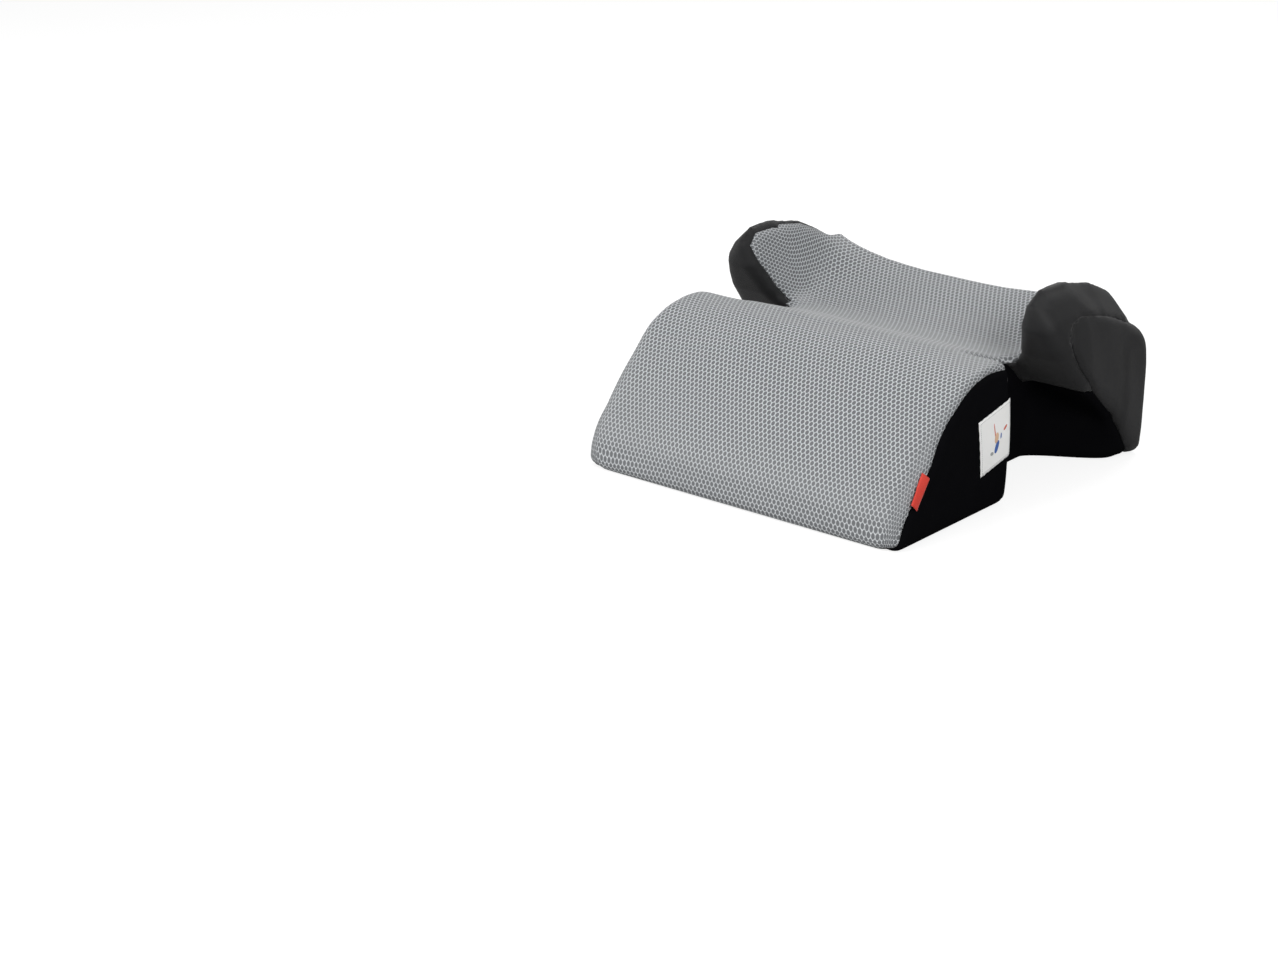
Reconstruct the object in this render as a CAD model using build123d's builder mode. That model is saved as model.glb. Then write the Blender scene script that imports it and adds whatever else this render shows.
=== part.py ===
from build123d import *
import os

os.makedirs("parts", exist_ok=True)

# A backless child booster seat: a moulded shell with foam padding under a sewn, removable cover.
# Millimetres, +Z up, +X to the seat's own right as seen from the front, -Y is the front edge.
# The origin is under the middle of the seat, on the surface that its rubber feet stand on.

# ---- driving dimensions -----------------------------------------------------------------
depth = 410.0
front_width = 396.0  # over the thigh wings
rear_width = 444.0  # over the armrests
waist_width = 284.0  # between the two belt notches
wing_depth = 193.0  # front edge to the back of the thigh wings
armrest_height = 200.0
hem_level = 3.0  # lowest edge of the cover, just clear of the ground

cover_thickness = 3.0
foam_thickness = 12.0
shell_wall = 2.5
shell_level = 8.0  # lower edge of the shell and its ribs
rib_wall = 2.0
rib_count = 4  # lengthwise, and the same crosswise
rib_pitch_across = 82.0
rib_pitch_along = 100.0
rib_lap_level = 40.0  # crosswise ribs run through below it, lengthwise ribs above it
boss_wall = 2.5
plate_thickness = 2.0  # flat between the two middle ribs, for the approval sticker
plate_length = 64.0
sticker_length = 54.0
sticker_width = 40.0
sticker_thickness = 0.3

hem_width = 16.0
hem_wall = 1.0
elastic_size = 3.0

foot_radius = 14.0
foot_stem_radius = 5.0
foot_stem_length = 14.0
front_foot_x = 150.0
rear_foot_x = 96.0
foot_from_edge = 42.0

label_size = 57.0
label_thickness = 0.8
label_tilt = 9.0  # degrees, rear edge up
label_from_front = 160.0
label_z = 77.0
label_margin = 2.5  # edge of the label to its stitching
thread = 0.5
patch_thickness = 0.3

tab_length = 34.0
tab_width = 14.0
tab_thickness = 1.2
tab_clearance = 0.2

hook_x = 62.0
wing_hook_from_front = 80.0
hook_width = 14.0
hook_wall = 2.0
hook_rise = 8.0

front = -depth / 2
rear = depth / 2
wing_back = front + wing_depth
# long section of the top, from the nose of the front edge to past the top of the rear edge
top_points = [
    (front, 8),
    (front + 11, 42),
    (front + 44, 82),
    (front + 92, 125),
    (front + 138, 147),
    (front + 180, 149),
    (front + 225, 135),
    (front + 280, 121),
    (front + 340, 129),
    (rear, 146),
    (rear + 40, 152),
]
half_front = front_width / 2
half_rear = rear_width / 2
half_waist = waist_width / 2
well_below = 60.0  # how far the forms run below the seat before they are trimmed
well_above = 260.0

foam_line = cover_thickness + foam_thickness  # from the outside to the back of the foam
shell_line = foam_line + shell_wall


# ---- forms that the layers are cut from --------------------------------------------------
top_line = Spline(*top_points)
top_steps = 14


def side_face(inset):
    """Long section of the seat, its top drawn in by inset: nose, slope, ridge, belt valley, rear."""
    top = []
    for step in range(top_steps + 1):
        spot = top_line @ (step / top_steps)
        run = top_line % (step / top_steps)
        top.append((spot.X + inset * run.Y, spot.Y - inset * run.X))
    with BuildSketch() as section:
        with BuildLine():
            Spline(*top)
            Polyline(top[-1], (top[-1][0], -well_below), (top[0][0], -well_below), top[0])
        make_face()
    return section.sketch


def plan_face(inset):
    """Seat seen from above, drawn in by inset: thigh wings, belt notches and flared rear."""
    half = [
        (half_front, front),
        (half_front, wing_back),
        (half_waist, wing_back),
        (half_waist, front + 330),
        (half_rear - 8, rear - 26),
        (half_rear - 8, rear),
    ]
    with BuildSketch() as plan:
        with BuildLine():
            Polyline(*half, *[(-x, y) for x, y in reversed(half)], close=True)
        make_face()
        fillet(plan.vertices(), 7)
        if inset:
            offset(amount=-inset, kind=Kind.INTERSECTION)
    return plan.sketch


def seat_form(drop, inset):
    """The seat without its armrests, drawn in by drop on its long section and inset in plan."""
    with BuildPart() as form:
        with BuildSketch(Plane.YZ):
            add(side_face(drop))
        extrude(amount=half_rear + 10, both=True)
        with BuildSketch(Plane.XY.offset(-well_below)):
            add(plan_face(inset))
        extrude(amount=well_above + well_below, mode=Mode.INTERSECT)
        split(bisect_by=Plane.XY.offset(hem_level), keep=Keep.TOP)
        split(bisect_by=Plane.XZ.offset(drop - rear), keep=Keep.TOP)
    return form.part


def armrest_form(inset):
    """Right armrest: a fin that leans forward over the belt notch and runs down to the rear."""
    fin = [
        (front + 264, 180),
        (front + 276, 142),
        (front + 300, 108),
        (front + 345, 62),
        (rear - 12, hem_level),
        (rear, hem_level),
        (rear, 128),
        (rear - 34, 166),
        (front + 300, armrest_height),
        (front + 272, armrest_height),
    ]
    across = [
        (half_rear - 70, -well_below),
        (half_rear - 70, 110),
        (half_rear - 48, armrest_height),
        (half_rear - 16, armrest_height),
        (half_rear, 160),
        (half_rear, 70),
        (half_rear - 8, -well_below),
    ]
    with BuildPart() as form:
        with BuildSketch(Plane.YZ) as profile:
            with BuildLine():
                Polyline(*fin, close=True)
            make_face()
            fillet(profile.vertices().filter_by_position(Axis.Z, 100, 210), 14)
            if inset:
                offset(amount=-inset, kind=Kind.INTERSECTION)
        extrude(amount=half_rear + 10)
        with BuildSketch(Plane.XZ) as front_view:
            with BuildLine():
                Polyline(*across, close=True)
            make_face()
            fillet(front_view.vertices().filter_by_position(Axis.Z, 150, 210), 13)
            if inset:
                offset(amount=-inset, kind=Kind.INTERSECTION)
        extrude(amount=depth, both=True, mode=Mode.INTERSECT)
        split(bisect_by=Plane.XY.offset(hem_level), keep=Keep.TOP)
    return form.part


def side_box(x_range, y_range, z_range):
    """A plain block between two corners, used to part one panel from the next."""
    size = [high - low for low, high in (x_range, y_range, z_range)]
    corner = (x_range[0], y_range[0], z_range[0])
    with BuildPart() as block:
        with Locations(corner):
            Box(*size, align=(Align.MIN, Align.MIN, Align.MIN))
    return block.part


def save(piece, label):
    piece.label = label
    export_step(piece, f"parts/{label}.step")


# The seat and its armrests, drawn in step by step: outside, back of the cover, back of the foam,
# inside of the shell. Each layer is one form less the next, so neighbours meet face to face.
seat_outside = seat_form(0, 0)
seat_under_top = seat_form(cover_thickness, 0)
seat_under_cover = seat_form(cover_thickness, cover_thickness)
seat_under_foam = seat_form(foam_line, cover_thickness)
seat_inside_shell = seat_form(shell_line, cover_thickness + shell_wall)
arm_outside = armrest_form(0)
arm_under_cover = armrest_form(cover_thickness)
arm_under_foam = armrest_form(foam_line)
arm_inside_shell = armrest_form(shell_line)


def both(form):
    """A right-hand form with its left-hand mirror image."""
    return [form, mirror(form, about=Plane.YZ, mode=Mode.PRIVATE)]


# ---- moulded shell: one wall all over, open underneath, with a boss for each foot
feet_places = [
    (x * side, y)
    for x, y in (
        (front_foot_x, front + foot_from_edge),
        (rear_foot_x, rear - foot_from_edge),
    )
    for side in (-1, 1)
]
with BuildPart() as bosses:
    with BuildSketch(Plane.XY.offset(shell_level)):
        with Locations(*feet_places):
            Circle(foot_stem_radius + boss_wall)
    extrude(amount=armrest_height)
    add(seat_inside_shell, mode=Mode.INTERSECT)

with BuildPart() as seat_shell:
    add(seat_under_foam)
    add(both(arm_under_foam))
    add([seat_inside_shell] + both(arm_inside_shell), mode=Mode.SUBTRACT)
    add(bosses.part)
    split(bisect_by=Plane.XY.offset(shell_level), keep=Keep.TOP)
    with Locations(*[(x, y, shell_level) for x, y in feet_places]):
        Cylinder(
            foot_stem_radius,
            foot_stem_length,
            align=(Align.CENTER, Align.CENTER, Align.MIN),
            mode=Mode.SUBTRACT,
        )
save(seat_shell.part, "seat_shell")

# ---- ribs under the shell's top, lapped where they cross, and the flat for the sticker
with BuildPart() as ribs_along:
    with BuildSketch(Plane.XY.offset(shell_level)):
        with GridLocations(rib_pitch_across, 0, rib_count, 1):
            Rectangle(rib_wall, depth)
    extrude(amount=armrest_height)
    add(seat_inside_shell, mode=Mode.INTERSECT)

with BuildPart() as ribs_across:
    with BuildSketch(Plane.XY.offset(shell_level)):
        with GridLocations(0, rib_pitch_along, 1, rib_count):
            Rectangle(rear_width, rib_wall)
    extrude(amount=armrest_height)
    add(seat_inside_shell, mode=Mode.INTERSECT)

with BuildPart() as laps_below:
    add(ribs_across.part)
    split(bisect_by=Plane.XY.offset(rib_lap_level), keep=Keep.BOTTOM)

with BuildPart() as laps_above:
    add(ribs_along.part)
    split(bisect_by=Plane.XY.offset(rib_lap_level), keep=Keep.TOP)

with BuildPart() as lengthwise_ribs:
    add(ribs_along.part)
    add(laps_below.part, mode=Mode.SUBTRACT)
save(Compound(children=lengthwise_ribs.part.solids()), "lengthwise_ribs")

with BuildPart() as crosswise_ribs:
    add(ribs_across.part)
    add(laps_above.part, mode=Mode.SUBTRACT)
save(Compound(children=crosswise_ribs.part.solids()), "crosswise_ribs")

with BuildPart() as sticker_plate:
    with BuildSketch(Plane.XY.offset(shell_level)):
        Rectangle(rib_pitch_across - rib_wall, plate_length)
    extrude(amount=plate_thickness)
save(sticker_plate.part, "sticker_plate")

# ---- rubber feet, pushed into the sockets
corner_names = ("front_left_foot", "front_right_foot", "rear_left_foot", "rear_right_foot")
for corner, (x, y) in zip(corner_names, feet_places):
    with BuildPart() as foot:
        with BuildSketch():
            with Locations((x, y)):
                Circle(foot_radius)
        extrude(amount=shell_level)
        chamfer(foot.edges().group_by(Axis.Z)[0], 1.5)
        with BuildSketch(Plane.XY.offset(shell_level)):
            with Locations((x, y)):
                Circle(foot_stem_radius)
        extrude(amount=foot_stem_length)
    save(foot.part, corner)

# ---- foam: a pad over the whole top of the shell, and a sleeve on each armrest
with BuildPart() as seat_foam:
    add(seat_under_cover)
    add([seat_under_foam] + both(arm_under_foam), mode=Mode.SUBTRACT)
    split(bisect_by=Plane.XY.offset(shell_level), keep=Keep.TOP)
save(seat_foam.part, "seat_foam")

with BuildPart() as right_armrest_foam:
    add(arm_under_cover)
    add([arm_under_foam, seat_under_cover], mode=Mode.SUBTRACT)
    split(bisect_by=Plane.XY.offset(shell_level), keep=Keep.TOP)
save(right_armrest_foam.part, "right_armrest_foam")
save(mirror(right_armrest_foam.part, about=Plane.YZ), "left_armrest_foam")

# ---- cover layers, before they are parted into panels
with BuildPart() as top_layer:
    add(seat_outside)
    add([seat_under_top] + both(arm_under_cover), mode=Mode.SUBTRACT)

with BuildPart() as wall_layer:
    add(seat_under_top)
    add([seat_under_cover] + both(arm_under_cover), mode=Mode.SUBTRACT)

with BuildPart() as armrest_layer:
    add(arm_outside)
    add([arm_under_cover, seat_outside], mode=Mode.SUBTRACT)

# ---- where the panels are sewn together
wide = rear_width  # further than any panel reaches from the middle
inner_seam = half_rear - 70 + 4
inner_region = [
    (0, 0),
    (inner_seam, 0),
    (inner_seam, 108),
    (inner_seam + 25, armrest_height + 15),
    (0, armrest_height + 15),
]
front_region = [
    (front, -10),
    (front, armrest_height + 10),
    (front + 322, armrest_height + 10),
    (front + 314, 150),
    (front + 336, 108),
    (front + 372, 60),
    (front + 372, -10),
]
with BuildPart() as inner_zone:
    with BuildSketch(Plane.XZ):
        with BuildLine():
            Polyline(*inner_region, close=True)
        make_face()
    extrude(amount=depth, both=True)

with BuildPart() as front_zone:
    with BuildSketch(Plane.YZ):
        with BuildLine():
            Polyline(*front_region, close=True)
        make_face()
    extrude(amount=wide)

notch_zone = side_box((100, wide), (wing_back - cover_thickness, rear + 1), (0, well_above))
rear_zone = side_box((-wide, wide), (rear - cover_thickness, rear + 1), (0, well_above))
inside_armrests = side_box((0, half_rear - 67), (wing_back, rear + 1), (0, well_above))
behind_wings = side_box((0, wide), (wing_back, rear + 1), (0, well_above))
wing_zone = side_box((half_front - 8, wide), (front - 1, wing_back - cover_thickness), (0, well_above))
corner_zone = side_box((half_rear - 67, wide), (front + 332, rear + 1), (0, well_above))

# ---- air-mesh top: seat and inner faces of the armrests in one piece
with BuildPart() as armrest_inner_skin:
    add(armrest_layer.part)
    add(inner_zone.part, mode=Mode.INTERSECT)

with BuildPart() as top_beside_armrest:
    add(top_layer.part)
    add(behind_wings, mode=Mode.INTERSECT)
    add([inside_armrests, rear_zone], mode=Mode.SUBTRACT)

with BuildPart() as seat_top_skin:
    add(top_layer.part)
    add([rear_zone] + both(top_beside_armrest.part), mode=Mode.SUBTRACT)
mesh_top = Compound(children=[seat_top_skin.part] + both(armrest_inner_skin.part))
save(mesh_top, "mesh_top_panel")

with BuildPart() as rear_panel:
    add(top_layer.part)
    add(rear_zone, mode=Mode.INTERSECT)
save(rear_panel.part, "rear_panel")

# ---- black panels of one side, mirrored for the other
with BuildPart() as wing_panel:
    add(wall_layer.part)
    add(wing_zone, mode=Mode.INTERSECT)

with BuildPart() as armrest_front_panel:
    add(armrest_layer.part)
    add(front_zone.part, mode=Mode.INTERSECT)
    add(inner_zone.part, mode=Mode.SUBTRACT)

with BuildPart() as corner_wall:
    add(wall_layer.part)
    add(corner_zone, mode=Mode.INTERSECT)

with BuildPart() as armrest_outer_panel:
    add(armrest_layer.part)
    add([front_zone.part, inner_zone.part], mode=Mode.SUBTRACT)
    add([corner_wall.part, top_beside_armrest.part])

with BuildPart() as notch_panel:
    add(wall_layer.part)
    add(notch_zone, mode=Mode.INTERSECT)
    add([wing_zone, corner_zone], mode=Mode.SUBTRACT)

for panel, name in (
    (wing_panel.part, "wing_panel"),
    (armrest_front_panel.part, "armrest_front_panel"),
    (armrest_outer_panel.part, "armrest_outer_panel"),
    (notch_panel.part, "notch_panel"),
):
    save(panel, f"right_{name}")
    save(mirror(panel, about=Plane.YZ), f"left_{name}")

# ---- hem: a folded casing under the edge of the cover, with elastic inside it
def hem_ring(outer, inner, low, high):
    """A ring that follows the seat's outline, between two insets and two levels."""
    with BuildPart() as ring:
        with BuildSketch(Plane.XY.offset(low)):
            add(plan_face(outer))
            add(plan_face(inner), mode=Mode.SUBTRACT)
        extrude(amount=high - low)
    return ring.part


elastic_outer = cover_thickness + hem_width / 2
elastic_inner = elastic_outer + elastic_size
channel_level = hem_level + hem_wall
elastic = hem_ring(elastic_outer, elastic_inner, channel_level, channel_level + elastic_size)
channel = hem_ring(elastic_outer, elastic_inner, channel_level, shell_level)
folded_edge = hem_ring(cover_thickness, cover_thickness + hem_width, hem_level, shell_level)
with BuildPart() as hem_casing:
    add(folded_edge)
    add([channel, top_layer.part], mode=Mode.SUBTRACT)
save(hem_casing.part, "hem_casing")
save(elastic, "hem_elastic")

# ---- plastic hooks: each is sewn to the hem and clips over the nearest rib
def hook(reach):
    """J-shaped hook lying along +X from the hem at its origin, with its upturned end at reach."""
    with BuildPart() as strip:
        with BuildSketch(Plane.XZ):
            with BuildLine():
                Polyline(
                    (0, channel_level),
                    (reach, channel_level),
                    (reach, channel_level + hook_wall + hook_rise),
                    (reach - hook_wall, channel_level + hook_wall + hook_rise),
                    (reach - hook_wall, channel_level + hook_wall),
                    (0, channel_level + hook_wall),
                    close=True,
                )
            make_face()
        extrude(amount=hook_width / 2, both=True)
    return strip.part


hem_edge = cover_thickness + hem_width
hook_over_rib = rib_wall / 2 + hook_wall
outer_rib = (rib_count - 1) / 2
end_reach = depth / 2 - hem_edge - outer_rib * rib_pitch_along + hook_over_rib
wing_reach = half_front - hem_edge - outer_rib * rib_pitch_across + hook_over_rib
end_hook = hook(end_reach)
wing_hook = hook(wing_reach)
hooks = []
for side in (-1, 1):
    hooks.append(Location((hook_x * side, front + hem_edge, 0), (0, 0, 90)) * end_hook)
    hooks.append(Location((hook_x * side, rear - hem_edge, 0), (0, 0, -90)) * end_hook)
wing_hook_y = front + wing_hook_from_front
hooks.append(Location((half_front - hem_edge, wing_hook_y, 0), (0, 0, 180)) * wing_hook)
hooks.append(Location((hem_edge - half_front, wing_hook_y, 0), (0, 0, 0)) * wing_hook)
save(Compound(children=hooks), "cover_hooks")

# ---- instruction label on the right wing: woven square, its stitching, three plain colour patches
label_run = Vector(0, 1, 0).rotate(Axis.X, label_tilt)
label_origin = (half_front, front + label_from_front, label_z)
tilt = Plane(origin=label_origin, x_dir=label_run, z_dir=(1, 0, 0))
with BuildPart() as instruction_label:
    with BuildSketch(tilt):
        RectangleRounded(label_size, label_size, 2)
    extrude(amount=label_thickness)
save(instruction_label.part, "instruction_label")

with BuildPart() as label_stitching:
    with BuildSketch(tilt.offset(label_thickness)):
        RectangleRounded(label_size - 2 * label_margin, label_size - 2 * label_margin, 2)
        offset(amount=-thread, mode=Mode.SUBTRACT)
    extrude(amount=thread)
save(label_stitching.part, "label_stitching")

with BuildPart() as label_patches:
    with BuildSketch(tilt.offset(label_thickness)):
        with Locations((-6, 9)):
            Circle(3.5)
        with Locations((0, -10)):
            RectangleRounded(14, 7, 3)
        with Locations(Location((3, 2), 60)):
            RectangleRounded(12, 4, 1.8)
        with Locations(Location((14, 6), 30)):
            RectangleRounded(8, 3, 1.2)
    extrude(amount=patch_thickness)
save(label_patches.part, "label_patches")

# ---- blank folded tab, caught in the right front seam and lying on the slope
tab_at = 0.1  # how far along the section, nose to rear edge
tab_point = top_line @ tab_at
tab_run = top_line % tab_at
tab_plane = Plane(
    origin=(half_front - tab_width / 2 - cover_thickness, tab_point.X, tab_point.Y),
    x_dir=(0, tab_run.X, tab_run.Y),
    z_dir=(0, -tab_run.Y, tab_run.X),
).offset(tab_clearance)
with BuildPart() as side_tab:
    with BuildSketch(tab_plane):
        RectangleRounded(tab_length, tab_width, 1)
    extrude(amount=tab_thickness)
save(side_tab.part, "side_tab")

# ---- blank approval sticker under the shell
with BuildPart() as approval_sticker:
    with BuildSketch(Plane.XY.offset(shell_level - sticker_thickness)):
        RectangleRounded(sticker_width, sticker_length, 3)
    extrude(amount=sticker_thickness)
save(approval_sticker.part, "approval_sticker")
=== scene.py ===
# A backless booster seat: the sewn cover, its padding and small trim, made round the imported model
import bpy
import bmesh
import math
import numpy as np
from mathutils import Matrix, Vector, kdtree


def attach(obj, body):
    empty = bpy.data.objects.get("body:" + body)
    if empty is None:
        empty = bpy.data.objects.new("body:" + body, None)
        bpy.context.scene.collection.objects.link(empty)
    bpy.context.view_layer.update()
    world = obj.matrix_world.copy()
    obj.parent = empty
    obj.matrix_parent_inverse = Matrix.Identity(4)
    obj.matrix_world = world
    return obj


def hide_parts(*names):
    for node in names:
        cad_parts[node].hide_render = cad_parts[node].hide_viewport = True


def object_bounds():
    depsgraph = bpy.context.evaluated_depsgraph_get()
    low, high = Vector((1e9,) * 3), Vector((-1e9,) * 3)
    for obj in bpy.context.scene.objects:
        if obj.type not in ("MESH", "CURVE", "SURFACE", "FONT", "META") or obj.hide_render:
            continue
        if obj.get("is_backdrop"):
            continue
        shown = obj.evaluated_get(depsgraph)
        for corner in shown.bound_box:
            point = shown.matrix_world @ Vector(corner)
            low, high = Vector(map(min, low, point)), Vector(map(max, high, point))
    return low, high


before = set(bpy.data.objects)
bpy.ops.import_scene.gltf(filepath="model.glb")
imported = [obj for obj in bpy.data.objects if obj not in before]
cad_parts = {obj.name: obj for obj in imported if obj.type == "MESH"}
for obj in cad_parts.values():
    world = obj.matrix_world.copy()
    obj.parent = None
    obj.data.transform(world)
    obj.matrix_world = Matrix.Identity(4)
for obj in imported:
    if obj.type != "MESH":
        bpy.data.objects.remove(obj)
cadLow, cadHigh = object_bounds()
frontY = cadLow.y  # the seat's shapes below are measured in mm from its front edge and its floor
mm = 0.001


def smoothMax(a, b, blend):
    h = np.clip(0.5 + 0.5 * (a - b) / blend, 0, 1)
    return b + (a - b) * h + blend * h * (1 - h)


def smoothMin(a, b, blend):
    return -smoothMax(-a, -b, blend)


def ramp(low, high, value):
    t = np.clip((value - low) / (high - low), 0, 1)
    return t * t * (3 - 2 * t)


def curveThrough(points):
    # a smooth curve through (y, z) points, which never overshoots them; gives height and slope
    knots = np.array(points, float)
    step = np.diff(knots[:, 0])
    rise = np.diff(knots[:, 1]) / step
    both = rise[1:] * rise[:-1]
    inner = np.where(both > 0, 2 * both / np.where(both > 0, rise[1:] + rise[:-1], 1), 0)
    slope = np.concatenate([rise[:1], inner, rise[-1:]])

    def evaluate(y):
        y = np.clip(y, knots[0, 0], knots[-1, 0])
        i = np.clip(np.searchsorted(knots[:, 0], y, side="right") - 1, 0, len(step) - 1)
        h = step[i]
        t = (y - knots[i, 0]) / h
        z = (
            knots[i, 1] * (1 + 2 * t) * (1 - t) ** 2
            + h * slope[i] * t * (1 - t) ** 2
            + knots[i + 1, 1] * t * t * (3 - 2 * t)
            + h * slope[i + 1] * t * t * (t - 1)
        )
        dz = (
            (knots[i + 1, 1] - knots[i, 1]) * 6 * t * (1 - t) / h
            + slope[i] * (1 - t) * (1 - 3 * t)
            + slope[i + 1] * t * (3 * t - 2)
        )
        return z, dz

    return evaluate


def insideOutline(px, py, corners):
    # signed distance to a closed outline, negative inside
    v = np.array(corners, float)
    nearest = np.full(px.shape, 1e18)
    sign = np.ones(px.shape)
    for i in range(len(v)):
        j = i - 1
        edge = v[j] - v[i]
        wx, wy = px - v[i, 0], py - v[i, 1]
        t = np.clip((wx * edge[0] + wy * edge[1]) / (edge @ edge), 0, 1)
        nearest = np.minimum(nearest, (wx - edge[0] * t) ** 2 + (wy - edge[1] * t) ** 2)
        above = py >= v[i, 1]
        below = py < v[j, 1]
        leftOf = edge[0] * wy > edge[1] * wx
        crosses = (above & below & leftOf) | (~above & ~below & ~leftOf)
        sign = np.where(crosses, -sign, sign)
    return sign * np.sqrt(nearest)


# the padded body is one smooth form in mm, which the cover and the foam follow
seat = {
    "depth": cadHigh.y / mm - frontY / mm - 2,
    "halfFront": 195.0,
    "sideBulge": 5.0,
    "wingDepth": 192.0,
    "halfWaist": 140.0,
    "halfRear": 214.0,
    "hem": 0.8,
    # height along the middle, front edge to rear edge
    "middle": [
        (-3, 4), (3, 32), (36, 78), (60, 103), (88, 126), (114, 141), (144, 150), (170, 151.5),
        (192, 147), (216, 139), (242, 130), (270, 122), (300, 119), (340, 126), (380, 140), (402, 147),
    ],
    # the same along the sides
    "side": [
        (0, 4), (3, 32), (34, 73), (56, 98), (82, 120), (106, 136), (134, 148), (160, 151),
        (184, 149), (205, 143), (235, 131), (268, 121), (300, 121), (340, 132), (380, 148), (402, 154),
    ],
}
armrest = {
    # long outline of the fin: distance from the front, and height
    "fin": [
        (242, 190), (246, 165), (265, 134), (296, 100), (342, 62), (402, -8), (418, 0),
        (418, 90), (413, 126), (401, 153), (380, 174), (343, 192), (292, 204), (258, 204),
    ],
    # inner and outer face: height and distance from the middle
    "inner": [(0, 130), (95, 132), (112, 138), (130, 152), (160, 163), (200, 175)],
    "outer": [
        (0, 220), (30, 222), (60, 224), (100, 224), (130, 222),
        (150, 219), (174, 212), (186, 204), (200, 195),
    ],
    "edgeRadius": 18.0,
}
middleCurve = curveThrough(seat["middle"])
sideCurve = curveThrough(seat["side"])
innerZ, innerX = np.array(armrest["inner"], float).T
outerZ, outerX = np.array(armrest["outer"], float).T


def seatTop(ax, y):
    # height and slope of the seat's top at a distance ax from the middle
    towardSide = np.clip(ax / 196, 0, 1.1) ** 4
    zMid, slopeMid = middleCurve(y)
    zSide, slopeSide = sideCurve(y)
    # rises into the armrests, then falls away behind them
    sweep = 14 * np.clip(ax / 150, 0, 1.12) ** 3 * ramp(300, 385, y) * (1 - ramp(165, 190, ax))
    sweep = sweep - 34 * ramp(170, 214, ax) * ramp(290, 350, y) + 2.4 * (1 - ramp(70, 165, ax))
    z = zMid * (1 - towardSide) + zSide * towardSide + sweep
    return z, slopeMid * (1 - towardSide) + slopeSide * towardSide


def aboveTop(ax, y, z):
    top, slope = seatTop(ax, y)
    return (z - top) / np.sqrt(1 + np.clip(slope, -3, 3) ** 2)


def finDistance(y, z):
    return insideOutline(y, z, armrest["fin"])


def body(x, y, z, tuck=13):
    # distance-like value of the whole padded body: negative inside, zero on its surface
    ax = np.abs(x)
    top = aboveTop(ax, y, z)
    bulge = seat["sideBulge"] * np.sin(np.pi * np.clip((z + 25) / 175, 0, 1))
    wings = smoothMax(ax - (seat["halfFront"] + bulge), y - seat["wingDepth"], 10)
    halfCore = seat["halfWaist"] + (seat["halfRear"] - seat["halfWaist"]) * ramp(310, 374, y)
    core = smoothMax(ax - halfCore, y - seat["depth"], 14)
    sides = smoothMin(wings, core, 10)
    seatBody = smoothMax(top, sides, 12 + 18 * (1 - ramp(45, 110, y)))  # softer corners toward the front
    seatBody = smoothMax(seatBody, -y - 1, 10)
    inner = np.interp(z, innerZ, innerX)
    outer = np.interp(z, outerZ, outerX) - 6 * np.clip((300 - y) / 60, 0, 1)
    across = np.abs(ax - (inner + outer) / 2) - (outer - inner) / 2
    radius = armrest["edgeRadius"]
    a = across + radius
    tilt = 22 * ramp(181, 214, ax) * ramp(285, 335, y) * ramp(95, 150, z)  # the top falls away outward
    b = finDistance(y, z + tilt) + radius * 0.8
    fin = np.minimum(np.maximum(a, b), 0) + np.hypot(np.maximum(a, 0), np.maximum(b, 0)) - radius
    whole = smoothMin(seatBody, fin, 20)
    if tuck:
        whole = smoothMax(whole, -z, tuck)  # the lower edge turns under
    return smoothMax(whole, y - (seat["depth"] + 3), 10)


def bodyGradient(points, form=body, step=0.5):
    g = np.zeros_like(points)
    for axis in range(3):
        d = np.zeros(3)
        d[axis] = step
        a, b = points + d, points - d
        g[:, axis] = (form(*a.T) - form(*b.T)) / (2 * step)
    return g


def ontoSurface(points, level=0.0, form=body, rounds=4):
    # moves points in mm along the surface's own normal until they lie at that level
    p = np.array(points, float)
    for _ in range(rounds):
        g = bodyGradient(p, form)
        p -= g * ((form(*p.T) - level) / np.maximum((g * g).sum(1), 0.2))[:, None]
    return p


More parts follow.
